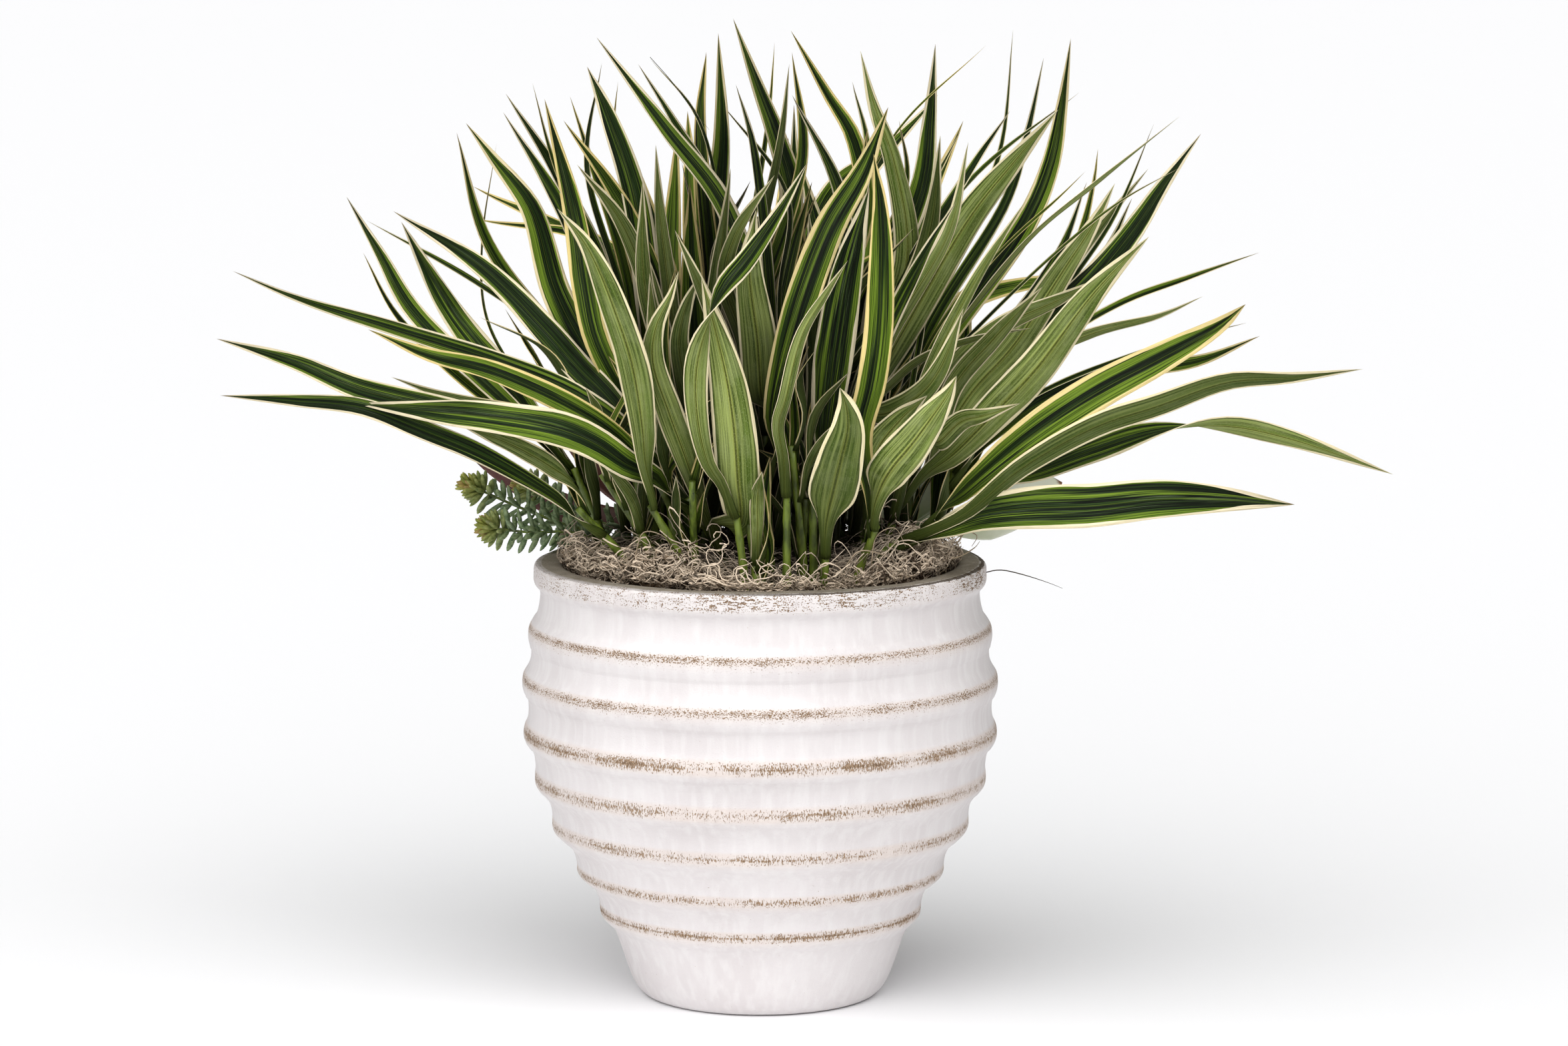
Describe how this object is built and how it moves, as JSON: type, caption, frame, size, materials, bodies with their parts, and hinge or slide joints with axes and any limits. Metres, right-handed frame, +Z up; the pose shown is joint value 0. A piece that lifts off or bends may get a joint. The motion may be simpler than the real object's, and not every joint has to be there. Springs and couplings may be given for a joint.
{
  "type": "potted artificial grass arrangement",
  "caption": "Ribbed chalk-white planter filled with variegated strap-leaved grass, curly moss, sedum sprays and succulent rosettes.",
  "frame": {"origin": "middle of the pot's flat base, at the level that it stands on", "axes": "+Z up the pot's axis, -Y towards the viewer of the picture, +X to the viewer's right"},
  "size_m": [0.888, 0.5299, 0.737],
  "materials": {
    "pot": "chalky white paint, worn to brown on the ribs and rim",
    "filler": "matte foam",
    "moss": "dry curly fibres",
    "grass": "moulded plastic with cream margins, satin above and dull below",
    "sedum": "satin blue-green, yellow-green at the heads",
    "pale": "satin pale grey-green",
    "maroon": "satin maroon"
  },
  "bodies": {
    "root": {"pot": "pot", "filler": "filler", "moss": "moss", "grass_stem_00": "grass", "grass_stem_01": "grass", "grass_stem_02": "grass", "grass_stem_03": "grass", "grass_stem_04": "grass", "grass_stem_05": "grass", "grass_stem_06": "grass", "grass_stem_07": "grass", "grass_stem_08": "grass", "grass_stem_09": "grass", "grass_stem_10": "grass", "grass_stem_11": "grass", "grass_stem_12": "grass", "grass_stem_13": "grass", "grass_stem_14": "grass", "grass_stem_15": "grass", "grass_stem_16": "grass", "grass_stem_17": "grass", "grass_stem_18": "grass", "grass_stem_19": "grass", "grass_stem_20": "grass", "grass_stem_21": "grass", "grass_stem_22": "grass", "grass_stem_23": "grass", "sedum_spray_1": "sedum", "sedum_spray_2": "sedum", "sedum_spray_3": "sedum", "pale_rosette": "pale", "maroon_rosette": "maroon"}
  },
  "joints": []
}
